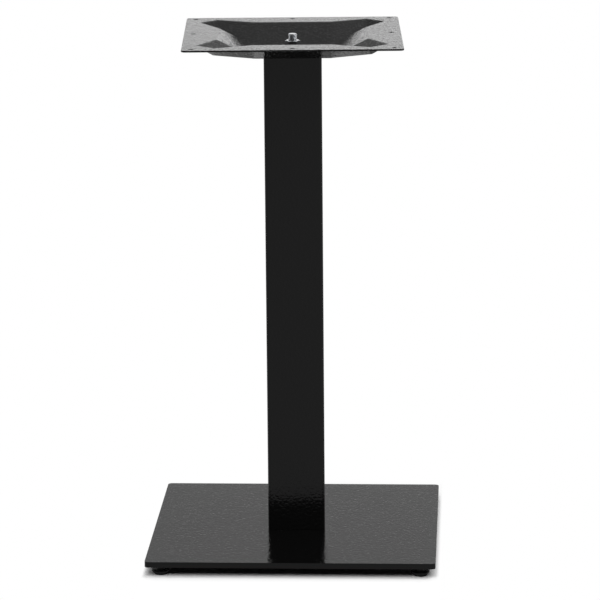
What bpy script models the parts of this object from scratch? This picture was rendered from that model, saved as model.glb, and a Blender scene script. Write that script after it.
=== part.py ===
"""Square dining table base.

A square foot plate, a square tube column and a pressed top plate are drawn together by one
tie rod, and stand on four levelling feet. Lengths are in metres and +Z is up. The origin is
on the floor under the middle of the column, and the front of the object faces -Y. The
column and the top plate are square to the axes; the foot plate was clamped a little turned.
"""

import math

import bmesh
import bpy
from mathutils import Matrix, Vector

# Whole object
OVERALL_HEIGHT = 0.725  # floor to the face that a table top rests on
SEAT_GAP = 0.0003  # between pieces that touch
CUT_OVERRUN = 0.002  # how far a cutter runs past the face that it cuts
MERGE_DISTANCE = 0.00001

# Foot plate: a flat steel slab
BASE_SIDE = 0.400
BASE_THICKNESS = 0.008
BASE_CORNER_RADIUS = 0.006
BASE_EDGE_RADIUS = 0.001
BASE_TURN = math.radians(-2.9)  # on the tie rod, against the column and the top plate

# Column: square tube with a plate welded into each end
COLUMN_SIDE = 0.080
COLUMN_WALL = 0.002
COLUMN_INNER_CORNER_RADIUS = 0.002
END_PLATE_THICKNESS = 0.004

# Top plate: one pressed sheet
TOP_SIDE = 0.300
TOP_CORNER_RADIUS = 0.006
SHEET_THICKNESS = 0.0025
SHEARED_EDGE_RADIUS = 0.0004
SCREW_HOLE_RADIUS = 0.0035
SCREW_HOLE_INSET = 0.013  # from the plate's edge to the hole's centre

# Dish in the top plate, given on the sheet's middle surface
DISH_DEPTH = 0.0245
DISH_FLOOR_HALF = 0.0545  # middle to the flat floor's edge
RAMP_REACH = 0.1035  # middle to a side ramp's upper edge
RAMP_HALF_LENGTH = 0.054
LOBE_REACH = 0.129  # the further coordinate of a corner of a lobe's mouth
LOBE_SIDE = 0.105  # its nearer coordinate
LOBE_TOE = 0.107  # where a lobe's valley meets its end facet, along X and along Y
BEND_SETBACK = 0.002  # each bend starts this far from where its facets would meet

# Tie rod, M12
ROD_RADIUS = 0.006
ROD_CHAMFER = 0.001
ROD_HOLE_CLEARANCE = 0.0005
ROD_BELOW_RIM = 0.0005
ROD_PAST_BOTTOM_NUT = 0.0015

# Nuts and washers on the tie rod
WASHER_RADIUS = 0.012
WASHER_THICKNESS = 0.002
SPRING_WASHER_RADIUS = 0.0105
SPRING_WASHER_THICKNESS = 0.0021
SPRING_WASHER_SLIT = 0.0015
NUT_ACROSS_FLATS = 0.019
TOP_NUT_HEIGHT = 0.010
BOTTOM_NUT_HEIGHT = 0.006
NUT_CHAMFER = 0.0008  # how far the corner chamfers reach inside the flats

# Levelling feet: a nylon pad moulded round the head of an M8 bolt
FOOT_INSET = 0.021  # from the foot plate's edges to the foot's axis
FOOT_HEIGHT = 0.0145  # floor to the foot plate's underside, with the foot screwed right in
PAD_SOLE_RADIUS = 0.008
PAD_RADIUS = 0.0128
PAD_WIDEST_HEIGHT = 0.0048  # the pad widens from its sole up to here
PAD_HEIGHT = 0.0065  # floor to the pad's upper face
PAD_SHOULDER_RADIUS = 0.001
PAD_COLLAR_RADIUS = 0.0052
PAD_COLLAR_HEIGHT = 0.0032
PAD_SOLE_THICKNESS = 0.002
BOLT_RADIUS = 0.004
BOLT_CHAMFER = 0.0006
BOLT_HEAD_ACROSS_FLATS = 0.013
BOLT_HEAD_HEIGHT = 0.003
BOLT_HEAD_CHAMFER = 0.0005
BOLT_HOLE_SKIN = 0.0015  # steel left above the blind tapped hole

# Levels, from the floor up
BASE_BOTTOM = FOOT_HEIGHT
BASE_TOP = BASE_BOTTOM + BASE_THICKNESS
COLUMN_BOTTOM = BASE_TOP + SEAT_GAP
RIM_TOP = OVERALL_HEIGHT
DISH_FLOOR_TOP = RIM_TOP - DISH_DEPTH
COLUMN_TOP = DISH_FLOOR_TOP - SHEET_THICKNESS - SEAT_GAP
BOTTOM_WASHER_BOTTOM = BASE_BOTTOM - SEAT_GAP - WASHER_THICKNESS
BOTTOM_NUT_BOTTOM = BOTTOM_WASHER_BOTTOM - SEAT_GAP - BOTTOM_NUT_HEIGHT
ROD_BOTTOM = BOTTOM_NUT_BOTTOM - ROD_PAST_BOTTOM_NUT
ROD_TOP = RIM_TOP - ROD_BELOW_RIM
TOP_WASHER_BOTTOM = DISH_FLOOR_TOP + SEAT_GAP
SPRING_WASHER_BOTTOM = TOP_WASHER_BOTTOM + WASHER_THICKNESS + SEAT_GAP
TOP_NUT_BOTTOM = SPRING_WASHER_BOTTOM + SPRING_WASHER_THICKNESS + SEAT_GAP

# Fineness of round and bent surfaces
ROUND_STEPS = 32
SMALL_ROUND_STEPS = 24
CORNER_STEPS = 6
FILLET_STEPS = 3
BEND_SEGMENTS = 3
LEAST_BEND = math.radians(8)
SHARP_EDGE = math.radians(35)
SQUARE_EDGE = math.radians(60)
HEX_CHAMFER_SLOPE = math.tan(math.radians(30))

FEET = {
    "front_left": (-1, -1),
    "front_right": (1, -1),
    "back_left": (-1, 1),
    "back_right": (1, 1),
}


def clear_scene():
    for thing in list(bpy.data.objects):
        bpy.data.objects.remove(thing, do_unlink=True)


def new_collection(name):
    collection = bpy.data.collections.new(name)
    bpy.context.scene.collection.children.link(collection)
    return collection


def linear(hex_colour):
    """An sRGB hex colour as linear red, green, blue and alpha."""
    channels = [int(hex_colour[i : i + 2], 16) / 255 for i in (1, 3, 5)]
    return [c / 12.92 if c <= 0.04045 else ((c + 0.055) / 1.055) ** 2.4 for c in channels] + [1]


def finish(name, hex_colour, roughness, metallic):
    material = bpy.data.materials.new(name)
    material.use_nodes = True
    material.diffuse_color = linear(hex_colour)
    shader = material.node_tree.nodes["Principled BSDF"]
    shader.inputs["Base Color"].default_value = linear(hex_colour)
    shader.inputs["Roughness"].default_value = roughness
    shader.inputs["Metallic"].default_value = metallic
    return material


def black_powder_coat():
    return finish("black_powder_coat", "#222222", 0.42, 0)


def bright_zinc_plating():
    return finish("bright_zinc_plating", "#c3c5c8", 0.28, 1)


def black_nylon():
    return finish("black_nylon", "#141414", 0.5, 0)


def mesh_of(obj):
    """The object as Blender evaluates it: one welded mesh, smooth between its sharp edges."""
    graph = bpy.context.evaluated_depsgraph_get()
    mesh = bpy.data.meshes.new_from_object(obj.evaluated_get(graph))
    shape = bmesh.new()
    shape.from_mesh(mesh)
    bmesh.ops.remove_doubles(shape, verts=shape.verts, dist=MERGE_DISTANCE)
    shape.to_mesh(mesh)
    shape.free()
    mesh.shade_smooth()
    mesh.set_sharp_from_angle(angle=SHARP_EDGE)
    return mesh


def place(name, mesh, collection, location=(0, 0, 0), parent=None):
    piece = bpy.data.objects.new(name, mesh)
    piece.location = location
    piece.parent = parent
    collection.objects.link(piece)
    return piece


def made_solid(obj):
    """Takes a curve, or an object with modifiers, out of the scene and gives its mesh."""
    mesh = mesh_of(obj)
    bpy.data.objects.remove(obj, do_unlink=True)
    return mesh


def arc(centre, radius, start, end, steps):
    """Points on an arc in a plane, from one angle in degrees to another."""
    angles = [math.radians(start + (end - start) * i / steps) for i in range(steps + 1)]
    return [(centre[0] + radius * math.cos(a), centre[1] + radius * math.sin(a)) for a in angles]


def rounded_square(side, radius):
    """The outline of a square with round corners, centred on the axis."""
    middle = side / 2 - radius
    points = []
    for turn, (x, y) in enumerate(((1, 1), (-1, 1), (-1, -1), (1, -1))):
        points += arc((x * middle, y * middle), radius, 90 * turn, 90 * turn + 90, CORNER_STEPS)
    return points


def circle(radius, steps):
    return arc((0, 0), radius, 0, 360 - 360 / steps, steps - 1)


def extruded(name, outlines, height):
    """A flat outline, with a further outline for each hole, extruded up from its own origin."""
    curve = bpy.data.curves.new(name, "CURVE")
    curve.dimensions = "2D"
    curve.fill_mode = "BOTH"
    curve.extrude = height / 2
    for outline in outlines:
        spline = curve.splines.new("POLY")
        spline.points.add(len(outline) - 1)
        for point, (x, y) in zip(spline.points, outline):
            point.co = (x, y, height / 2, 1)
        spline.use_cyclic_u = True
    return made_solid(place(name, curve, bpy.context.scene.collection))


def turned(name, profile, steps, ring=False):
    """A body turned about Z. The profile runs down its outer side, and a ring's comes back up."""
    shape = bmesh.new()
    points = [shape.verts.new((radius, 0, height)) for radius, height in profile]
    ends = points[1:] + points[:1] if ring else points[1:]
    for upper, lower in zip(points, ends):
        shape.edges.new((upper, lower))
    mesh = bpy.data.meshes.new(name)
    shape.to_mesh(mesh)
    shape.free()
    piece = place(name, mesh, bpy.context.scene.collection)
    screw = piece.modifiers.new("Turn", "SCREW")
    screw.steps = steps
    screw.render_steps = steps
    screw.use_merge_vertices = True
    screw.merge_threshold = MERGE_DISTANCE
    return made_solid(piece)


def rod_mesh(name, radius, chamfer, length, steps):
    """A round bar standing on its own origin, with both ends chamfered."""
    profile = [(0, length), (radius - chamfer, length), (radius, length - chamfer)]
    profile += [(radius, chamfer), (radius - chamfer, 0), (0, 0)]
    return turned(name, profile, steps)


def washer_mesh(name, outer, inner, thickness):
    profile = [(inner, thickness), (outer, thickness), (outer, 0), (inner, 0)]
    return turned(name, profile, ROUND_STEPS, ring=True)


def cylinders_mesh(name, places, radius, length, steps):
    """Plain round bars that stand side by side, for cutting holes."""
    shape = bmesh.new()
    for x, y in places:
        bmesh.ops.create_cone(
            shape,
            cap_ends=True,
            segments=steps,
            radius1=radius,
            radius2=radius,
            depth=length,
            matrix=Matrix.Translation((x, y, length / 2)),
        )
    mesh = bpy.data.meshes.new(name)
    shape.to_mesh(mesh)
    shape.free()
    return mesh


def hexagon_mesh(name, across_flats, height):
    """A hexagonal bar standing on its own origin, with two corners along X."""
    corner_radius = across_flats / math.sqrt(3)
    lift = Matrix.Translation((0, 0, height / 2))
    shape = bmesh.new()
    bmesh.ops.create_cone(
        shape,
        cap_ends=True,
        segments=6,
        radius1=corner_radius,
        radius2=corner_radius,
        depth=height,
        matrix=lift @ Matrix.Rotation(math.radians(90), 4, "Z"),
    )
    mesh = bpy.data.meshes.new(name)
    shape.to_mesh(mesh)
    shape.free()
    return mesh


def chamfering_body_mesh(name, across_flats, height, chamfer, both_ends):
    """What is left of a hexagon inside this turned body has its corners chamfered."""
    face_radius = across_flats / 2 - chamfer
    corner_radius = across_flats / math.sqrt(3) + chamfer
    drop = (corner_radius - face_radius) * HEX_CHAMFER_SLOPE
    profile = [(0, height), (face_radius, height), (corner_radius, height - drop)]
    if both_ends:
        profile += [(corner_radius, drop), (face_radius, 0), (0, 0)]
    else:
        profile += [(corner_radius, -CUT_OVERRUN), (0, -CUT_OVERRUN)]
    return turned(name, profile, ROUND_STEPS)


def cutter(name, mesh, cutters, location=(0, 0, 0), parent=None):
    guide = place(name, mesh, cutters, location, parent)
    guide.hide_render = True
    guide.display_type = "WIRE"
    return guide


def combine(piece, other, operation):
    boolean = piece.modifiers.new(other.name, "BOOLEAN")
    boolean.operation = operation
    boolean.solver = "EXACT"
    boolean.object = other


def round_edges(piece, radius, segments):
    bevel = piece.modifiers.new("Edges", "BEVEL")
    bevel.limit_method = "ANGLE"
    bevel.angle_limit = SQUARE_EDGE
    bevel.width = radius
    bevel.segments = segments
    bevel.harden_normals = True


def foot_places():
    """The feet's axes, near the corners of the foot plate and turned with it."""
    middle = BASE_SIDE / 2 - FOOT_INSET
    turn = Matrix.Rotation(BASE_TURN, 2)
    return {name: turn @ Vector((x * middle, y * middle)) for name, (x, y) in FEET.items()}


def make_base_plate(parts, cutters, coat):
    mesh = extruded("base_plate", [rounded_square(BASE_SIDE, BASE_CORNER_RADIUS)], BASE_THICKNESS)
    plate = place("base_plate", mesh, parts, (0, 0, BASE_BOTTOM))
    plate.rotation_euler.z = BASE_TURN
    plate.data.materials.append(coat)
    round_edges(plate, BASE_EDGE_RADIUS, FILLET_STEPS)

    through = BASE_THICKNESS + 2 * CUT_OVERRUN
    rod_hole = cylinders_mesh(
        "base_rod_hole", [(0, 0)], ROD_RADIUS + ROD_HOLE_CLEARANCE, through, ROUND_STEPS
    )
    below = (0, 0, BASE_BOTTOM - CUT_OVERRUN)
    combine(plate, cutter("base_rod_hole", rod_hole, cutters, below), "DIFFERENCE")

    blind = BASE_THICKNESS - BOLT_HOLE_SKIN + CUT_OVERRUN
    bolt_holes = cylinders_mesh(
        "base_bolt_holes", foot_places().values(), BOLT_RADIUS + SEAT_GAP, blind, SMALL_ROUND_STEPS
    )
    combine(plate, cutter("base_bolt_holes", bolt_holes, cutters, below), "DIFFERENCE")


def make_column(parts, coat):
    outer = rounded_square(COLUMN_SIDE, COLUMN_INNER_CORNER_RADIUS + COLUMN_WALL)
    inner = rounded_square(COLUMN_SIDE - 2 * COLUMN_WALL, COLUMN_INNER_CORNER_RADIUS)
    mesh = extruded("column_tube", [outer, inner], COLUMN_TOP - COLUMN_BOTTOM)
    tube = place("column_tube", mesh, parts, (0, 0, COLUMN_BOTTOM))
    tube.data.materials.append(coat)


def make_end_plates(parts, coat):
    """The two plates inside the tube's ends, which centre the tie rod."""
    side = COLUMN_SIDE - 2 * COLUMN_WALL - 2 * SEAT_GAP
    outline = rounded_square(side, COLUMN_INNER_CORNER_RADIUS - SEAT_GAP)
    hole = circle(ROD_RADIUS + ROD_HOLE_CLEARANCE, ROUND_STEPS)
    mesh = extruded("column_end_plate", [outline, hole], END_PLATE_THICKNESS)
    mesh.materials.append(coat)
    place("column_foot_plate", mesh, parts, (0, 0, COLUMN_BOTTOM))
    place("column_head_plate", mesh, parts, (0, 0, COLUMN_TOP - END_PLATE_THICKNESS))


def lobe_toe(floor_corner, ramp_corner, mouth_corner):
    """The low point of a lobe's end facet, at the depth that keeps the lobe's side facet flat."""
    across = (mouth_corner - ramp_corner).cross(floor_corner - ramp_corner)
    toe = Vector((LOBE_TOE, LOBE_TOE, 0))
    toe.z = -across.dot(toe - ramp_corner) / across.z
    return toe


def sheet_eighth():
    """The flat facets of one eighth of the top plate, between the X axis and the diagonal."""
    half = TOP_SIDE / 2
    floor_middle = Vector((0, 0, -DISH_DEPTH))
    floor_side = Vector((DISH_FLOOR_HALF, 0, -DISH_DEPTH))
    floor_corner = Vector((DISH_FLOOR_HALF, DISH_FLOOR_HALF, -DISH_DEPTH))
    ramp_side = Vector((RAMP_REACH, 0, 0))
    ramp_corner = Vector((RAMP_REACH, RAMP_HALF_LENGTH, 0))
    mouth_corner = Vector((LOBE_REACH, LOBE_SIDE, 0))
    mouth_middle = (mouth_corner + mouth_corner.yxz) / 2
    toe = lobe_toe(floor_corner, ramp_corner, mouth_corner)
    edge_side = Vector((half, 0, 0))
    edge_at_ramp = Vector((half, RAMP_HALF_LENGTH, 0))
    edge_at_mouth = Vector((half, LOBE_SIDE, 0))
    middle = half - TOP_CORNER_RADIUS
    corner = arc((middle, middle), TOP_CORNER_RADIUS, 0, 45, CORNER_STEPS // 2)
    rim_corner = [mouth_corner, edge_at_mouth] + [Vector((x, y, 0)) for x, y in corner]
    return [
        [floor_middle, floor_side, floor_corner],
        [floor_side, ramp_side, ramp_corner, floor_corner],
        [floor_corner, ramp_corner, mouth_corner, toe],
        [toe, mouth_corner, mouth_middle],
        [ramp_side, edge_side, edge_at_ramp, ramp_corner],
        [ramp_corner, edge_at_ramp, edge_at_mouth, mouth_corner],
        rim_corner + [mouth_middle],
    ]


def sheet_quarter_mesh():
    """The facets between the X axis and the Y axis: one eighth and its image in the diagonal."""
    eighth = sheet_eighth()
    image = [[point.yxz for point in reversed(facet)] for facet in eighth]
    shape = bmesh.new()
    for facet in eighth + image:
        shape.faces.new([shape.verts.new(point) for point in facet])
    bmesh.ops.remove_doubles(shape, verts=shape.verts, dist=MERGE_DISTANCE)
    mesh = bpy.data.meshes.new("pressed_sheet")
    shape.to_mesh(mesh)
    shape.free()
    return mesh


def pressed_sheet_mesh():
    """The dished sheet: facets mirrored to all four quarters, bent, and given their thickness."""
    sheet = place("pressed_sheet", sheet_quarter_mesh(), bpy.context.scene.collection)
    mirror = sheet.modifiers.new("Four quarters", "MIRROR")
    mirror.use_axis = (True, True, False)
    mirror.merge_threshold = MERGE_DISTANCE
    bends = sheet.modifiers.new("Bends", "BEVEL")
    bends.limit_method = "ANGLE"
    bends.angle_limit = LEAST_BEND
    bends.width = BEND_SETBACK
    bends.segments = BEND_SEGMENTS
    thickness = sheet.modifiers.new("Sheet", "SOLIDIFY")
    thickness.thickness = SHEET_THICKNESS
    thickness.offset = 0
    thickness.use_even_offset = True
    thickness.use_quality_normals = True
    return made_solid(sheet)


def screw_hole_places():
    """Eight holes: one at each corner of the rim and one at the middle of each side."""
    reach = TOP_SIDE / 2 - SCREW_HOLE_INSET
    steps = (-1, 0, 1)
    return [(x * reach, y * reach) for x in steps for y in steps if (x, y) != (0, 0)]


def make_top_plate(parts, cutters, coat):
    plate = place(
        "top_plate", pressed_sheet_mesh(), parts, (0, 0, RIM_TOP - SHEET_THICKNESS / 2)
    )
    plate.data.materials.append(coat)
    round_edges(plate, SHEARED_EDGE_RADIUS, 1)

    through = SHEET_THICKNESS + 2 * CUT_OVERRUN
    screw_holes = cylinders_mesh(
        "screw_holes", screw_hole_places(), SCREW_HOLE_RADIUS, through, SMALL_ROUND_STEPS
    )
    rim_below = (0, 0, RIM_TOP - SHEET_THICKNESS - CUT_OVERRUN)
    combine(plate, cutter("screw_holes", screw_holes, cutters, rim_below), "DIFFERENCE")
    rod_hole = cylinders_mesh(
        "top_rod_hole", [(0, 0)], ROD_RADIUS + ROD_HOLE_CLEARANCE, through, ROUND_STEPS
    )
    floor_below = (0, 0, DISH_FLOOR_TOP - SHEET_THICKNESS - CUT_OVERRUN)
    combine(plate, cutter("top_rod_hole", rod_hole, cutters, floor_below), "DIFFERENCE")


def make_tie_rod(parts, plating):
    mesh = rod_mesh("tie_rod", ROD_RADIUS, ROD_CHAMFER, ROD_TOP - ROD_BOTTOM, ROUND_STEPS)
    mesh.materials.append(plating)
    place("tie_rod", mesh, parts, (0, 0, ROD_BOTTOM))


def make_nut(name, height, bottom, parts, cutters, plating):
    """A hexagon nut with chamfered corners, its thread drawn as a plain bore."""
    at = (0, 0, bottom)
    nut = place(name, hexagon_mesh(name, NUT_ACROSS_FLATS, height), parts, at)
    nut.data.materials.append(plating)
    body = chamfering_body_mesh(name + "_chamfers", NUT_ACROSS_FLATS, height, NUT_CHAMFER, True)
    combine(nut, cutter(name + "_chamfers", body, cutters, at), "INTERSECT")
    length = height + 2 * CUT_OVERRUN
    bore = cylinders_mesh(name + "_bore", [(0, 0)], ROD_RADIUS + SEAT_GAP, length, ROUND_STEPS)
    below = (0, 0, bottom - CUT_OVERRUN)
    combine(nut, cutter(name + "_bore", bore, cutters, below), "DIFFERENCE")


def make_washers(parts, plating):
    inner = ROD_RADIUS + ROD_HOLE_CLEARANCE
    mesh = washer_mesh("washer", WASHER_RADIUS, inner, WASHER_THICKNESS)
    mesh.materials.append(plating)
    place("top_washer", mesh, parts, (0, 0, TOP_WASHER_BOTTOM))
    place("bottom_washer", mesh, parts, (0, 0, BOTTOM_WASHER_BOTTOM))


def make_spring_washer(parts, cutters, plating):
    """A split ring, drawn flat as the tightened nut leaves it."""
    inner = ROD_RADIUS + ROD_HOLE_CLEARANCE
    mesh = washer_mesh("top_spring_washer", SPRING_WASHER_RADIUS, inner, SPRING_WASHER_THICKNESS)
    mesh.materials.append(plating)
    washer = place("top_spring_washer", mesh, parts, (0, 0, SPRING_WASHER_BOTTOM))
    slit = bmesh.new()
    bmesh.ops.create_cube(slit, size=1)
    length = SPRING_WASHER_RADIUS + CUT_OVERRUN
    size = (SPRING_WASHER_SLIT, length, SPRING_WASHER_THICKNESS + 2 * CUT_OVERRUN)
    bmesh.ops.scale(slit, vec=size, verts=slit.verts)
    slit_mesh = bpy.data.meshes.new("spring_washer_slit")
    slit.to_mesh(slit_mesh)
    slit.free()
    at = (0, -length / 2, SPRING_WASHER_BOTTOM + SPRING_WASHER_THICKNESS / 2)
    combine(washer, cutter("spring_washer_slit", slit_mesh, cutters, at), "DIFFERENCE")


def foot_pad_mesh():
    """The nylon pad before its bolt's room is cut: collar, shoulder, side, taper and sole."""
    top = PAD_HEIGHT + PAD_COLLAR_HEIGHT
    shoulder_centre = (PAD_RADIUS - PAD_SHOULDER_RADIUS, PAD_HEIGHT - PAD_SHOULDER_RADIUS)
    profile = [(0, top), (PAD_COLLAR_RADIUS, top), (PAD_COLLAR_RADIUS, PAD_HEIGHT)]
    profile += arc(shoulder_centre, PAD_SHOULDER_RADIUS, 90, 0, FILLET_STEPS)
    profile += [(PAD_RADIUS, PAD_WIDEST_HEIGHT), (PAD_SOLE_RADIUS, 0), (0, 0)]
    return turned("foot_pad", profile, ROUND_STEPS)


def make_foot(name, x, y, parts, cutters, nylon, plating):
    """A levelling foot: its pad and bolt hang on an empty on the foot's screw axis."""
    axis = place("foot_axis_" + name, None, parts, (x, y, 0))

    pad = place("foot_pad_" + name, foot_pad_mesh(), parts, parent=axis)
    pad.data.materials.append(nylon)
    room_flats = BOLT_HEAD_ACROSS_FLATS + 2 * SEAT_GAP
    room = hexagon_mesh("head_room", room_flats, BOLT_HEAD_HEIGHT + 2 * SEAT_GAP)
    room_at = (0, 0, PAD_SOLE_THICKNESS)
    combine(pad, cutter("head_room_" + name, room, cutters, room_at, axis), "DIFFERENCE")
    bore_at = (0, 0, PAD_SOLE_THICKNESS + SEAT_GAP)
    bore_length = PAD_HEIGHT + PAD_COLLAR_HEIGHT + CUT_OVERRUN - bore_at[2]
    bore = cylinders_mesh(
        "pad_bore", [(0, 0)], BOLT_RADIUS + SEAT_GAP, bore_length, SMALL_ROUND_STEPS
    )
    combine(pad, cutter("pad_bore_" + name, bore, cutters, bore_at, axis), "DIFFERENCE")

    head_at = (0, 0, PAD_SOLE_THICKNESS + SEAT_GAP)
    head = hexagon_mesh("bolt_head", BOLT_HEAD_ACROSS_FLATS, BOLT_HEAD_HEIGHT)
    bolt = place("foot_bolt_" + name, head, parts, head_at, axis)
    bolt.data.materials.append(plating)
    body = chamfering_body_mesh(
        "bolt_chamfers", BOLT_HEAD_ACROSS_FLATS, BOLT_HEAD_HEIGHT, BOLT_HEAD_CHAMFER, False
    )
    combine(bolt, cutter("bolt_chamfers_" + name, body, cutters, head_at, axis), "INTERSECT")
    shank_start = head_at[2] + BOLT_HEAD_HEIGHT / 2
    shank_end = BASE_TOP - BOLT_HOLE_SKIN - SEAT_GAP
    shank = rod_mesh(
        "bolt_shank", BOLT_RADIUS, BOLT_CHAMFER, shank_end - shank_start, SMALL_ROUND_STEPS
    )
    shank_at = (0, 0, shank_start)
    combine(bolt, cutter("bolt_shank_" + name, shank, cutters, shank_at, axis), "UNION")


def main():
    clear_scene()
    parts = new_collection("square_table_base")
    cutters = new_collection("cutters")
    coat = black_powder_coat()
    plating = bright_zinc_plating()
    nylon = black_nylon()

    make_base_plate(parts, cutters, coat)
    make_column(parts, coat)
    make_end_plates(parts, coat)
    make_top_plate(parts, cutters, coat)
    make_tie_rod(parts, plating)
    make_washers(parts, plating)
    make_spring_washer(parts, cutters, plating)
    make_nut("top_nut", TOP_NUT_HEIGHT, TOP_NUT_BOTTOM, parts, cutters, plating)
    make_nut("bottom_nut", BOTTOM_NUT_HEIGHT, BOTTOM_NUT_BOTTOM, parts, cutters, plating)
    for name, (x, y) in foot_places().items():
        make_foot(name, x, y, parts, cutters, nylon, plating)


main()
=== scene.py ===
"""Looks of the square table base: powder coated steel, a zinc plated tie rod and nylon feet."""

import math

import bmesh
import bpy
from bpy.props import FloatProperty, FloatVectorProperty, PointerProperty
from bpy.types import Operator, Panel, PropertyGroup
from mathutils import Matrix, Vector


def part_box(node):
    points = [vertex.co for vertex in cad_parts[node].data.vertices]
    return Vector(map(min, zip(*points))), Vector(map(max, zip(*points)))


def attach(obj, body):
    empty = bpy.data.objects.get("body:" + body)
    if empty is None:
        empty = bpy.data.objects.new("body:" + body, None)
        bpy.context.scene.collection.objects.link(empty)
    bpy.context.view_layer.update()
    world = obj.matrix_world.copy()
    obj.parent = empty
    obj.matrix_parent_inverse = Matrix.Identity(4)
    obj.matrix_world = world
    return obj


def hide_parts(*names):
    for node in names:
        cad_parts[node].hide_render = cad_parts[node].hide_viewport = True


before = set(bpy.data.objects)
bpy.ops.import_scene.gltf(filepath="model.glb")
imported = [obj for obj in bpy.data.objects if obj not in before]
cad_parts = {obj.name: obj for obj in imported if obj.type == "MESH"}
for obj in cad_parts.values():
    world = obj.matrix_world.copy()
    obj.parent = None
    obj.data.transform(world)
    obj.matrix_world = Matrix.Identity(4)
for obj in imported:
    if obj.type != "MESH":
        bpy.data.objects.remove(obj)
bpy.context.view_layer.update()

bl_info = {
    "name": "Square Table Base",
    "version": (1, 0, 0),
    "blender": (4, 5, 0),
    "location": "3D View > Sidebar > Table Base",
    "description": "Dresses a square pedestal table base: coated steel, plated tie rod, nylon feet",
    "category": "Object",
}

FEET = ("front_left", "front_right", "back_left", "back_right")
COATED_NODES = (
    "base_plate",
    "column_tube",
    "column_foot_plate",
    "column_head_plate",
    "top_plate",
)
THREAD_STEPS = 48  # vertices around the thread
THREAD_ROWS = 8  # rows of vertices in one pitch
SMOOTH_COAT = math.radians(32)  # coated edges sharper than this stay sharp
SMOOTH_METAL = math.radians(25)  # the same for plated steel and nylon
SAME_PLACE = 0.000002  # vertices closer than this, in metres, are welded
SAME_PLANE = math.radians(0.2)  # facets that meet flatter than this become one

# Bump depths of the two powder coats, in metres
SATIN_PEEL = 0.00018
SATIN_PITS = 0.00003
GRAINY_PEEL = 0.00025
GRAINY_PITS = 0.0006

# Levels of the noise textures
NOISE_RANGE = (0.3, 0.7)  # nearly all of its values
PIT_NOISE = (0.55, 0.7)  # at a pit's rim and at its bottom

# Roughness, at the low and the high end of the noise
COAT_ROUGHNESS = (0.08, 0.14)
ZINC_ROUGHNESS = (0.03, 0.07)
NYLON_ROUGHNESS = 0.42

# World: strengths that reflections see, and the shares of them in front and at the sides
WALL_LIGHT = 1.3
CEILING_LIGHT = 0.41
GROUND_LIGHT = 0.4
FRONT_SHARE = 0.23
LEFT_SHARE = 0.9
RIGHT_SHARE = 1.1
OVERHEAD_LIGHT = 0.7  # the strength that matt surfaces see

# Floor, in metres
FLOOR_HALF_WIDTH = 0.9
FLOOR_HALF_DEPTH = 0.98
FLOOR_MIDDLE = (0, 0.62, -0.0001)

# Where the floor changes, as start and end in metres from the object's middle
WHITE_BESIDE = (0.2, 0.206)
WHITE_BEHIND = (0.2, 0.3)
# The next two are where the painted shade on the floor, which only reflections see, fades out to
# the back and sets in to the right
PAINTED_SHADE_TO_BACK = (-0.2, 0.2)
PAINTED_SHADE_TO_RIGHT = (-0.1, 0.1)

# Painted shade on the floor that only reflections see: its grey in front, and its share of the
# floor's colour at right
PAINTED_SHADE_FRONT = 0.25
PAINTED_SHADE_RIGHT = 0.35

# Lamps: name, place, target, side in metres, power in watts, and if the object mirrors it
LAMPS = (
    ("front_softbox", (-0.2, -2.1, 2.0), (0, -0.2, 0), 1.5, 52, False),
    ("right_softbox", (1.9, -0.7, 3.2), (0, 0, 0), 1.5, 36, True),
)

# Camera, from fitting one perspective view to the plates' corners
CAMERA_PLACE = (0.0061, -4.9637, 1.4791)
CAMERA_TURN = math.radians(-0.014)
CAMERA_TILT = math.radians(12.851)
CAMERA_ROLL = math.radians(-0.481)
FOCAL_LENGTH = 217.45
SENSOR_WIDTH = 36


def linear(hex_colour):
    """An sRGB hex colour as linear red, green and blue."""
    channels = [int(hex_colour[i : i + 2], 16) / 255 for i in (1, 3, 5)]
    return [c / 12.92 if c <= 0.04045 else ((c + 0.055) / 1.055) ** 2.4 for c in channels]


def node_size(node, axis):
    low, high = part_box(node)
    return high[axis] - low[axis]


class TableBaseSizes(PropertyGroup):
    rod_pitch: FloatProperty(
        name="Rod pitch",
        description="Pitch of the tie rod's thread",
        default=0.00175,
        unit="LENGTH",
        precision=5,
    )
    rod_thread_depth: FloatProperty(
        name="Rod thread depth",
        description="Crest to root of the tie rod's thread",
        default=0.00095,
        unit="LENGTH",
        precision=5,
    )
    threaded_length: FloatProperty(
        name="Threaded length",
        description="Length of thread at each end of the tie rod",
        default=0.035,
        unit="LENGTH",
    )
    rod_diameter: FloatProperty(
        name="Rod diameter",
        description="Outside diameter of the tie rod",
        default=node_size("tie_rod", 0),
        unit="LENGTH",
    )
    bolt_diameter: FloatProperty(
        name="Bolt diameter",
        description="Outside diameter of the levelling bolts",
        default=0.008,
        unit="LENGTH",
    )
    bolt_pitch: FloatProperty(
        name="Bolt pitch",
        description="Pitch of the levelling bolts' thread",
        default=0.00125,
        unit="LENGTH",
        precision=5,
    )
    bolt_thread_depth: FloatProperty(
        name="Bolt thread depth",
        description="Crest to root of the levelling bolts' thread",
        default=0.0007,
        unit="LENGTH",
        precision=5,
    )
    bolt_head_height: FloatProperty(
        name="Bolt head height",
        description="Height of the levelling bolts' heads inside the pads",
        default=0.003,
        unit="LENGTH",
    )
    plate_turn: FloatProperty(
        name="Foot plate turn",
        description="How far the foot plate stands turned against the column",
        default=math.radians(-2.9),
        unit="ROTATION",
    )
    peel_spacing: FloatProperty(
        name="Orange peel",
        description="Distance between the soft bumps of the powder coat",
        default=0.004,
        unit="LENGTH",
        precision=5,
    )
    pit_spacing: FloatProperty(
        name="Pits",
        description="Distance between the small pits of the powder coat",
        default=0.003,
        unit="LENGTH",
        precision=5,
    )
    grain_spacing: FloatProperty(
        name="Grain",
        description="Distance between the fine marks on the plated steel, twice the nylon's",
        default=0.001,
        unit="LENGTH",
        precision=5,
    )


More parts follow.
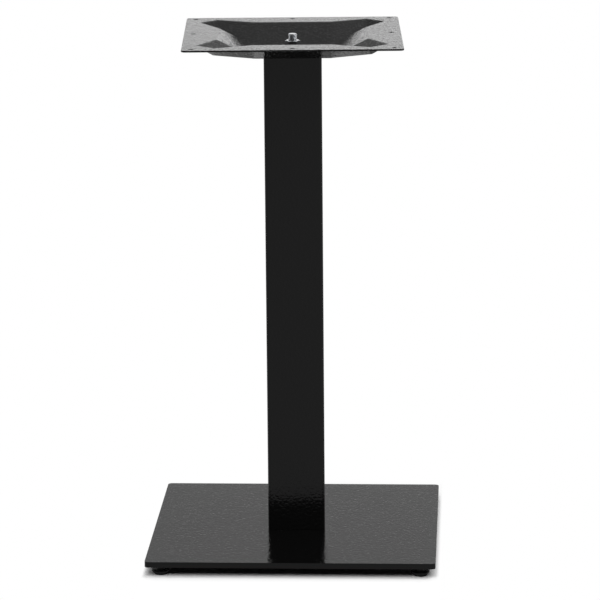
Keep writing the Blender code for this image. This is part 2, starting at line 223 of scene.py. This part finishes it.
class TableBaseColours(PropertyGroup):
    powder_coat: FloatVectorProperty(
        name="Powder coat",
        description="Colour of the coated steel",
        subtype="COLOR",
        min=0,
        max=1,
        default=linear("#060606"),
    )
    zinc: FloatVectorProperty(
        name="Zinc",
        description="Colour of the plated tie rod, nuts, washers and bolts",
        subtype="COLOR",
        min=0,
        max=1,
        default=linear("#e2e4e7"),
    )
    nylon: FloatVectorProperty(
        name="Nylon",
        description="Colour of the feet",
        subtype="COLOR",
        min=0,
        max=1,
        default=linear("#090909"),
    )
    floor: FloatVectorProperty(
        name="Floor",
        description="Colour of the studio floor",
        subtype="COLOR",
        min=0,
        max=1,
        default=linear("#fafafa"),
    )


def add_node(tree, kind, inputs=None, **settings):
    """Adds a shader node. Each input is given a value, or a link as a (node, output) pair."""
    node = tree.nodes.new(kind)
    for name, value in settings.items():
        setattr(node, name, value)
    for key, value in (inputs or {}).items():
        if isinstance(value, tuple) and isinstance(value[0], bpy.types.Node):
            tree.links.new(value[0].outputs[value[1]], node.inputs[key])
        else:
            node.inputs[key].default_value = value
    return node


def ramp(tree, source, start, end, low, high):
    """A number that goes smoothly from low to high while its source goes from start to end."""
    return add_node(
        tree,
        "ShaderNodeMapRange",
        {"Value": source, "From Min": start, "From Max": end, "To Min": low, "To Max": high},
        interpolation_type="SMOOTHSTEP",
    )


def new_material(name):
    """A material with its Principled BSDF, ready to be filled in."""
    material = bpy.data.materials.new(name)
    material.use_nodes = True
    return material, material.node_tree, material.node_tree.nodes["Principled BSDF"]


def powder_coat(name, sizes, colours, peel_depth, pit_depth):
    """Polyester powder, sprayed on steel and baked.

    The melted powder leaves a skin with soft bumps like orange peel and small pits between them,
    so a reflection breaks into light and dark specks, most of all where the eye skims the
    surface. Real ones are 1 to 2 mm wide. They are drawn two to three times as wide, because
    narrower ones can't be told apart at the size of the picture.
    """
    material, tree, shader = new_material(name)
    place = add_node(tree, "ShaderNodeTexCoord")
    peel = add_node(
        tree,
        "ShaderNodeTexNoise",
        {"Vector": (place, "Object"), "Scale": 1 / sizes.peel_spacing, "Detail": 1.0},
    )
    spots = add_node(
        tree,
        "ShaderNodeTexNoise",
        {"Vector": (place, "Object"), "Scale": 1 / sizes.pit_spacing, "Detail": 0.0},
    )
    pits = ramp(tree, (spots, "Fac"), *PIT_NOISE, 1.0, 0.0)
    peel_bump = add_node(
        tree,
        "ShaderNodeBump",
        {"Height": (peel, "Fac"), "Strength": 1.0, "Distance": peel_depth},
    )
    bump = add_node(
        tree,
        "ShaderNodeBump",
        {
            "Height": (pits, "Result"),
            "Strength": 1.0,
            "Distance": pit_depth,
            "Normal": (peel_bump, "Normal"),
        },
    )
    gloss = ramp(tree, (peel, "Fac"), *NOISE_RANGE, *COAT_ROUGHNESS)
    tree.links.new(bump.outputs["Normal"], shader.inputs["Normal"])
    tree.links.new(gloss.outputs["Result"], shader.inputs["Roughness"])
    shader.inputs["Base Color"].default_value = (*colours.powder_coat, 1)
    shader.inputs["IOR"].default_value = 1.5
    return material


def satin_powder_coat(sizes, colours):
    """The thin even coat of the foot plate and the column, nearly smooth."""
    return powder_coat("satin_powder_coat", sizes, colours, SATIN_PEEL, SATIN_PITS)


def grainy_powder_coat(sizes, colours):
    """The top plate's heavier coat, whose peel and pits show as a grain on its pale rim."""
    return powder_coat("grainy_powder_coat", sizes, colours, GRAINY_PEEL, GRAINY_PITS)


def zinc_plated_steel(sizes, colours):
    """Steel, rolled or pressed and then plated with bright zinc.

    The thin plating is a bluish mirror that follows the steel's own fine tool marks.
    """
    material, tree, shader = new_material("zinc_plated_steel")
    place = add_node(tree, "ShaderNodeTexCoord")
    marks = add_node(
        tree,
        "ShaderNodeTexNoise",
        {"Vector": (place, "Object"), "Scale": 1 / sizes.grain_spacing, "Detail": 3.0},
    )
    gloss = add_node(
        tree,
        "ShaderNodeMapRange",
        {
            "Value": (marks, "Fac"),
            "From Min": NOISE_RANGE[0],
            "From Max": NOISE_RANGE[1],
            "To Min": ZINC_ROUGHNESS[0],
            "To Max": ZINC_ROUGHNESS[1],
        },
    )
    tree.links.new(gloss.outputs["Result"], shader.inputs["Roughness"])
    shader.inputs["Base Color"].default_value = (*colours.zinc, 1)
    shader.inputs["Metallic"].default_value = 1
    return material


def moulded_nylon(sizes, colours):
    """Black nylon, injection moulded: a dull skin with the mould's faint spark-eroded grain."""
    material, tree, shader = new_material("moulded_nylon")
    place = add_node(tree, "ShaderNodeTexCoord")
    grain = add_node(
        tree,
        "ShaderNodeTexNoise",
        {"Vector": (place, "Object"), "Scale": 2 / sizes.grain_spacing, "Detail": 1.0},
    )
    bump = add_node(
        tree,
        "ShaderNodeBump",
        {"Height": (grain, "Fac"), "Strength": 0.3, "Distance": 0.00005},
    )
    tree.links.new(bump.outputs["Normal"], shader.inputs["Normal"])
    shader.inputs["Base Color"].default_value = (*colours.nylon, 1)
    shader.inputs["Roughness"].default_value = NYLON_ROUGHNESS
    return material


def finish(name):
    """The named material, made when it is first asked for. No slot of the frame has its name."""
    made = bpy.data.materials.get(name)
    if made:
        return made
    scene = bpy.context.scene
    makers = {
        "satin_powder_coat": satin_powder_coat,
        "grainy_powder_coat": grainy_powder_coat,
        "zinc_plated_steel": zinc_plated_steel,
        "moulded_nylon": moulded_nylon,
    }
    return makers[name](scene.table_base_sizes, scene.table_base_colours)


def add_piece(name, mesh, material, node, body):
    """Puts a piece in the scene in place of its node, on the node's body."""
    mesh.materials.clear()
    mesh.materials.append(material)
    mesh.shade_smooth()
    mesh.set_sharp_from_angle(angle=SMOOTH_METAL)
    piece = bpy.data.objects.new(name, mesh)
    bpy.context.scene.collection.objects.link(piece)
    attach(piece, body)
    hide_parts(node)
    return piece


def welded_copy(node):
    """The node's own form with its triangles welded and its flat facets made whole again."""
    mesh = bpy.data.meshes.new(node + "_skin")
    shape = bmesh.new()
    shape.from_mesh(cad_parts[node].data)
    bmesh.ops.remove_doubles(shape, verts=shape.verts, dist=SAME_PLACE)
    bmesh.ops.dissolve_limit(
        shape, angle_limit=SAME_PLANE, verts=shape.verts, edges=shape.edges
    )
    shape.to_mesh(mesh)
    shape.free()
    if "custom_normal" in mesh.attributes:
        mesh.attributes.remove(mesh.attributes["custom_normal"])
    return mesh


class TABLEBASE_OT_coated_steel(Operator):
    """Dress the foot plate, column and top plate in powder coat"""

    bl_idname = "table_base.coated_steel"
    bl_label = "Coated steel"

    def execute(self, context):
        for node in COATED_NODES:
            mesh = welded_copy(node)
            coat = "grainy_powder_coat" if node == "top_plate" else "satin_powder_coat"
            piece = add_piece(
                node + "_coated", mesh, finish(coat), node, "frame"
            )
            piece.data.set_sharp_from_angle(angle=SMOOTH_COAT)
            weighted = piece.modifiers.new("Flat facets", "WEIGHTED_NORMAL")
            weighted.keep_sharp = True
        return {"FINISHED"}


def thread_radius(height, turn, crest, pitch, depth):
    """The thread's radius at a height and a share of a turn.

    It is a symmetric vee, cut off flat over a tenth of the pitch at the crest and at the root.
    """
    phase = (height / pitch - turn) % 1
    rise = min(max(1.25 * (2 * abs(phase - 0.5)) - 0.125, 0), 1)
    return crest - depth * rise


def thread_rows(low, high, pitch):
    """Heights from low to high, close enough together to show the thread."""
    count = math.ceil(THREAD_ROWS * (high - low) / pitch)
    return [low + (high - low) * i / count for i in range(count + 1)]


def threaded_mesh(name, axis, rows, crest, pitch, depth):
    """A closed bar with a thread through the given rows and a chamfer at each end."""
    shape = bmesh.new()
    rings = []
    for height in rows:
        chamfer = crest - depth + min(height - rows[0], rows[-1] - height)
        ring = []
        for i in range(THREAD_STEPS):
            turn = i / THREAD_STEPS
            radius = min(thread_radius(height, turn, crest, pitch, depth), chamfer)
            angle = math.tau * turn
            across = Vector((math.cos(angle), math.sin(angle), 0)) * radius
            ring.append(shape.verts.new(Vector((axis[0], axis[1], height)) + across))
        rings.append(ring)
    for below, above in zip(rings, rings[1:]):
        for i in range(THREAD_STEPS):
            j = (i + 1) % THREAD_STEPS
            shape.faces.new((below[i], below[j], above[j], above[i]))
    shape.faces.new(rings[0][::-1])
    shape.faces.new(rings[-1])
    mesh = bpy.data.meshes.new(name)
    shape.to_mesh(mesh)
    shape.free()
    return mesh


class TABLEBASE_OT_tie_rod(Operator):
    """Make the tie rod with its two threaded ends"""

    bl_idname = "table_base.tie_rod"
    bl_label = "Tie rod"

    def execute(self, context):
        sizes = context.scene.table_base_sizes
        low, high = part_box("tie_rod")
        rows = thread_rows(low.z, low.z + sizes.threaded_length, sizes.rod_pitch)
        rows += thread_rows(high.z - sizes.threaded_length, high.z, sizes.rod_pitch)
        crest = sizes.rod_diameter / 2
        mesh = threaded_mesh(
            "tie_rod_thread", (0, 0), rows, crest, sizes.rod_pitch, sizes.rod_thread_depth
        )
        zinc = finish("zinc_plated_steel")
        add_piece("tie_rod_threaded", mesh, zinc, "tie_rod", "frame")
        return {"FINISHED"}


class TABLEBASE_OT_nuts_and_washers(Operator):
    """Make the nuts and washers on the tie rod"""

    bl_idname = "table_base.nuts_and_washers"
    bl_label = "Nuts and washers"

    def execute(self, context):
        zinc = finish("zinc_plated_steel")
        for node in ("top_nut", "bottom_nut", "top_washer", "top_spring_washer", "bottom_washer"):
            mesh = welded_copy(node)
            add_piece(node + "_plated", mesh, zinc, node, "frame")
        return {"FINISHED"}


def bolt_head_mesh(node, axis, sizes):
    """The bolt with its shank drawn in, to stand inside the threaded one."""
    mesh = welded_copy(node)
    low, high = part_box(node)
    crest = sizes.bolt_diameter / 2
    for vertex in mesh.vertices:
        across = Vector((vertex.co.x - axis[0], vertex.co.y - axis[1]))
        if across.length > crest + SAME_PLACE or vertex.co.z < low.z + SAME_PLACE:
            continue
        across *= 1 - 2 * sizes.bolt_thread_depth / crest
        vertex.co.x = axis[0] + across.x
        vertex.co.y = axis[1] + across.y
        vertex.co.z = min(vertex.co.z, high.z - sizes.bolt_thread_depth)
    return mesh


class TABLEBASE_OT_levelling_feet(Operator):
    """Make the four levelling feet, each a nylon pad on its threaded bolt"""

    bl_idname = "table_base.levelling_feet"
    bl_label = "Levelling feet"

    def execute(self, context):
        sizes = context.scene.table_base_sizes
        zinc = finish("zinc_plated_steel")
        nylon = finish("moulded_nylon")
        for foot in FEET:
            body = "foot_" + foot
            pad = "foot_pad_" + foot
            bolt = "foot_bolt_" + foot
            add_piece(pad + "_moulded", welded_copy(pad), nylon, pad, body)
            low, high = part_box(bolt)
            axis = (low + high) / 2
            head = bolt_head_mesh(bolt, axis, sizes)
            rows = thread_rows(low.z + sizes.bolt_head_height, high.z, sizes.bolt_pitch)
            crest = sizes.bolt_diameter / 2
            thread = threaded_mesh(
                bolt + "_thread", axis, rows, crest, sizes.bolt_pitch, sizes.bolt_thread_depth
            )
            add_piece(bolt + "_head", head, zinc, bolt, body)
            add_piece(bolt + "_threaded", thread, zinc, bolt, body)
        return {"FINISHED"}


def studio_world():
    """White to the eye. Reflections show a bright wall behind, a dim ceiling and a darker room
    in front, and matt surfaces get a little light from overhead."""
    world = bpy.data.worlds.new("studio")
    bpy.context.scene.world = world
    world.use_nodes = True
    tree = world.node_tree
    tree.nodes.clear()
    rays = add_node(tree, "ShaderNodeLightPath")
    place = add_node(tree, "ShaderNodeTexCoord")
    way = add_node(tree, "ShaderNodeSeparateXYZ", {"Vector": (place, "Generated")})
    up = {degrees: math.sin(math.radians(degrees)) for degrees in (-4, -1, 5, 14, 25, 45)}
    ceiling = ramp(tree, (way, "Z"), up[5], up[14], WALL_LIGHT, CEILING_LIGHT)
    below = ramp(tree, (way, "Z"), up[-4], up[-1], GROUND_LIGHT, WALL_LIGHT)
    room = ramp(tree, (way, "Y"), -0.4, 0.4, FRONT_SHARE, 1.0)
    window_side = ramp(tree, (way, "X"), -0.2, 0.2, LEFT_SHARE, RIGHT_SHARE)
    overhead = ramp(tree, (way, "Z"), up[25], up[45], 0.0, OVERHEAD_LIGHT)
    upper = add_node(
        tree,
        "ShaderNodeMath",
        {0: (ceiling, "Result"), 1: (room, "Result")},
        operation="MULTIPLY",
    )
    walls = add_node(
        tree, "ShaderNodeMath", {0: (upper, "Value"), 1: (below, "Result")}, operation="MINIMUM"
    )
    room_light = add_node(
        tree,
        "ShaderNodeMath",
        {0: (walls, "Value"), 1: (window_side, "Result")},
        operation="MULTIPLY",
    )
    seen = add_node(
        tree,
        "ShaderNodeMath",
        {0: (rays, "Is Glossy Ray"), 1: (rays, "Is Transmission Ray")},
        operation="MAXIMUM",
    )
    matt = add_node(tree, "ShaderNodeBackground", {"Strength": (overhead, "Result")})
    mirrored = add_node(tree, "ShaderNodeBackground", {"Strength": (room_light, "Value")})
    white = add_node(tree, "ShaderNodeBackground", {"Strength": 1.0})
    for background in (matt, mirrored, white):
        background.inputs["Color"].default_value = (1, 1, 1, 1)
    unseen = add_node(
        tree,
        "ShaderNodeMixShader",
        {0: (seen, "Value"), 1: (matt, "Background"), 2: (mirrored, "Background")},
    )
    all_rays = add_node(
        tree,
        "ShaderNodeMixShader",
        {0: (rays, "Is Camera Ray"), 1: (unseen, "Shader"), 2: (white, "Background")},
    )
    add_node(tree, "ShaderNodeOutputWorld", {"Surface": (all_rays, "Shader")})


def studio_floor(sizes, colours):
    """A pale paper floor, which keeps the shadow under the foot plate. Beside and behind the
    plate the eye sees it plain white. Reflections see painted shade on it, dimmer in front and on
    the right."""
    material, tree, shader = new_material("pale_studio_paper")
    rays = add_node(tree, "ShaderNodeLightPath")
    place = add_node(tree, "ShaderNodeTexCoord")
    way = add_node(tree, "ShaderNodeSeparateXYZ", {"Vector": (place, "Object")})
    # Painted shade, seen only in reflections: the floor goes to a flat grey in front and darker on
    # the right
    back = ramp(tree, (way, "Y"), *PAINTED_SHADE_TO_BACK, 0.0, 1.0)
    painted_right_shade = ramp(tree, (way, "X"), *PAINTED_SHADE_TO_RIGHT, 1.0, PAINTED_SHADE_RIGHT)
    turned = add_node(
        tree,
        "ShaderNodeVectorRotate",
        {"Vector": (place, "Object"), "Angle": -sizes.plate_turn},
        rotation_type="Z_AXIS",
    )
    across = add_node(tree, "ShaderNodeSeparateXYZ", {"Vector": (turned, "Vector")})
    aside = add_node(tree, "ShaderNodeMath", {0: (across, "X")}, operation="ABSOLUTE")
    beside = ramp(tree, (aside, "Value"), *WHITE_BESIDE, 0.0, 1.0)
    behind = ramp(tree, (way, "Y"), *WHITE_BEHIND, 0.0, 1.0)
    around = add_node(
        tree,
        "ShaderNodeMath",
        {0: (beside, "Result"), 1: (behind, "Result")},
        operation="MAXIMUM",
    )
    plain = add_node(
        tree,
        "ShaderNodeMath",
        {0: (around, "Value"), 1: (rays, "Is Camera Ray")},
        operation="MULTIPLY",
    )
    paper_with_right_shade = add_node(
        tree,
        "ShaderNodeMix",
        {"Factor": (painted_right_shade, "Result"), "A": (0, 0, 0, 1), "B": (*colours.floor, 1)},
        data_type="RGBA",
    )
    dim = (PAINTED_SHADE_FRONT, PAINTED_SHADE_FRONT, PAINTED_SHADE_FRONT, 1)
    paper_with_painted_shade = add_node(
        tree,
        "ShaderNodeMix",
        {"Factor": (back, "Result"), "A": dim, "B": (paper_with_right_shade, "Result")},
        data_type="RGBA",
    )
    # The eye sees the floor's own colour, and reflections see it with the painted shade
    colour = add_node(
        tree,
        "ShaderNodeMix",
        {"Factor": (rays, "Is Camera Ray"), "A": (paper_with_painted_shade, "Result"), "B": (*colours.floor, 1)},
        data_type="RGBA",
    )
    tree.links.new(colour.outputs["Result"], shader.inputs["Base Color"])
    shader.inputs["Roughness"].default_value = 1
    shader.inputs["Specular IOR Level"].default_value = 0
    white = add_node(tree, "ShaderNodeEmission", {"Color": (1, 1, 1, 1), "Strength": 1.0})
    surface = add_node(
        tree,
        "ShaderNodeMixShader",
        {0: (plain, "Value"), 1: (shader, "BSDF"), 2: (white, "Emission")},
    )
    tree.links.new(surface.outputs["Shader"], tree.nodes["Material Output"].inputs["Surface"])
    shape = bmesh.new()
    bmesh.ops.create_grid(shape, x_segments=1, y_segments=1, size=1)
    bmesh.ops.scale(shape, vec=(FLOOR_HALF_WIDTH, FLOOR_HALF_DEPTH, 1), verts=shape.verts)
    bmesh.ops.translate(shape, vec=FLOOR_MIDDLE, verts=shape.verts)
    mesh = bpy.data.meshes.new("studio_floor")
    shape.to_mesh(mesh)
    shape.free()
    mesh.materials.append(material)
    floor = bpy.data.objects.new("studio_floor", mesh)
    bpy.context.scene.collection.objects.link(floor)


def studio_lamp(name, place, target, size, power, mirrored):
    """A square soft lamp. One that isn't mirrored lights the object without a glare on it."""
    lamp = bpy.data.lights.new(name, "AREA")
    lamp.shape = "SQUARE"
    lamp.size = size
    lamp.energy = power
    stand = bpy.data.objects.new(name, lamp)
    stand.location = place
    stand.rotation_euler = (Vector(target) - Vector(place)).to_track_quat("-Z", "Y").to_euler()
    stand.visible_glossy = mirrored
    bpy.context.scene.collection.objects.link(stand)


def studio_camera():
    camera = bpy.data.cameras.new("camera")
    camera.lens = FOCAL_LENGTH
    camera.sensor_width = SENSOR_WIDTH
    camera.clip_end = 50
    stand = bpy.data.objects.new("camera", camera)
    turn = Matrix.Rotation(CAMERA_TURN, 4, "Z")
    tilt = Matrix.Rotation(math.radians(90) - CAMERA_TILT, 4, "X")
    roll = Matrix.Rotation(CAMERA_ROLL, 4, "Z")
    stand.matrix_world = Matrix.Translation(CAMERA_PLACE) @ turn @ tilt @ roll
    bpy.context.scene.collection.objects.link(stand)
    bpy.context.scene.camera = stand


class TABLEBASE_OT_stage(Operator):
    """Set up the floor, the soft light and the camera"""

    bl_idname = "table_base.stage"
    bl_label = "Stage"

    def execute(self, context):
        context.scene.view_settings.view_transform = "Standard"
        studio_world()
        studio_floor(context.scene.table_base_sizes, context.scene.table_base_colours)
        for lamp in LAMPS:
            studio_lamp(*lamp)
        studio_camera()
        return {"FINISHED"}


OPERATORS = (
    TABLEBASE_OT_coated_steel,
    TABLEBASE_OT_tie_rod,
    TABLEBASE_OT_nuts_and_washers,
    TABLEBASE_OT_levelling_feet,
    TABLEBASE_OT_stage,
)


class TABLEBASE_PT_panel(Panel):
    """Sizes, colours and pieces of the table base"""

    bl_idname = "TABLEBASE_PT_panel"
    bl_label = "Table Base"
    bl_space_type = "VIEW_3D"
    bl_region_type = "UI"
    bl_category = "Table Base"

    def draw(self, context):
        scene = context.scene
        for group in (scene.table_base_sizes, scene.table_base_colours):
            box = self.layout.box()
            for name in group.__annotations__:
                box.prop(group, name)
        for operator in OPERATORS:
            self.layout.operator(operator.bl_idname)


CLASSES = (TableBaseSizes, TableBaseColours, *OPERATORS, TABLEBASE_PT_panel)


def register():
    for cls in CLASSES:
        bpy.utils.register_class(cls)
    bpy.types.Scene.table_base_sizes = PointerProperty(type=TableBaseSizes)
    bpy.types.Scene.table_base_colours = PointerProperty(type=TableBaseColours)


def unregister():
    del bpy.types.Scene.table_base_colours
    del bpy.types.Scene.table_base_sizes
    for cls in reversed(CLASSES):
        bpy.utils.unregister_class(cls)


def main():
    register()
    bpy.ops.table_base.coated_steel()
    bpy.ops.table_base.tie_rod()
    bpy.ops.table_base.nuts_and_washers()
    bpy.ops.table_base.levelling_feet()
    bpy.ops.table_base.stage()


if __name__ == "__main__":
    main()
